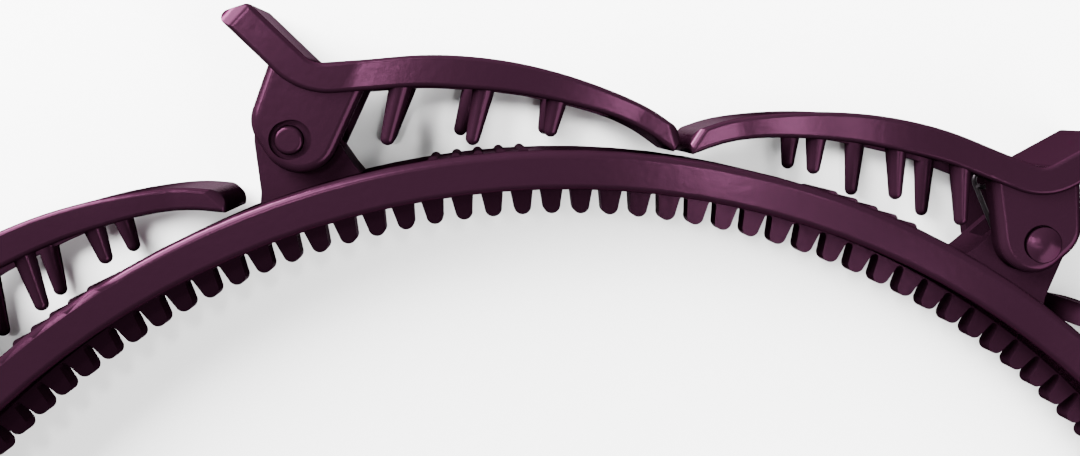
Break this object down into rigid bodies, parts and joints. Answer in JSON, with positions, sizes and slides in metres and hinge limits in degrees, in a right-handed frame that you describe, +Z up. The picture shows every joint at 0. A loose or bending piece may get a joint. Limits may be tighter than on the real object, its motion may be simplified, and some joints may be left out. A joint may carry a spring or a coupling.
{
  "type": "headband with clips",
  "caption": "Open plastic headband with a comb inside the crown and sprung toothed clips hinged along the top that hold back locks of hair.",
  "frame": {"origin": "centre of the bounding box's bottom: midway across the band, midway between the band's ends and the tops of the levers, on the surface that the headband's side lies on", "axes": "+X to the wearer's one side, from the far left clip to the far right clip; +Y from the open ends to the crown; +Z up, through the band's depth, with the headband lying on its side"},
  "size_m": [0.1418, 0.1316, 0.0116],
  "materials": {
    "plum_plastic": "satin, dark plum purple, moulded",
    "spring_steel": "drawn wire, dull bright"
  },
  "bodies": {
    "headband": {"headband": "plum_plastic", "pin_far_left": "plum_plastic", "spring_far_left": "spring_steel", "pin_left": "plum_plastic", "spring_left": "spring_steel", "pin_right": "plum_plastic", "spring_right": "spring_steel", "pin_far_right": "plum_plastic", "spring_far_right": "spring_steel"},
    "arm_far_left": {"arm_far_left": "plum_plastic"},
    "arm_left": {"arm_left": "plum_plastic"},
    "arm_right": {"arm_right": "plum_plastic"},
    "arm_far_right": {"arm_far_right": "plum_plastic"}
  },
  "joints": [
    {"name": "hinge_far_left", "type": "hinge", "parent": "headband", "child": "arm_far_left", "pos_m": [-0.06092, 0.0308, 0.0058], "axis": [0, 0, 1], "range_deg": [0, 35], "stiffness_Nm_per_rad": 0.02, "springref_deg": -85.94},
    {"name": "hinge_left", "type": "hinge", "parent": "headband", "child": "arm_left", "pos_m": [-0.03167, 0.05561, 0.0058], "axis": [0, 0, 1], "range_deg": [0, 35], "stiffness_Nm_per_rad": 0.02, "springref_deg": -85.94},
    {"name": "hinge_right", "type": "hinge", "parent": "headband", "child": "arm_right", "pos_m": [0.03167, 0.05561, 0.0058], "axis": [0, 0, -1], "range_deg": [0, 35], "stiffness_Nm_per_rad": 0.02, "springref_deg": -85.94},
    {"name": "hinge_far_right", "type": "hinge", "parent": "headband", "child": "arm_far_right", "pos_m": [0.06092, 0.0308, 0.0058], "axis": [0, 0, -1], "range_deg": [0, 35], "stiffness_Nm_per_rad": 0.02, "springref_deg": -85.94}
  ]
}
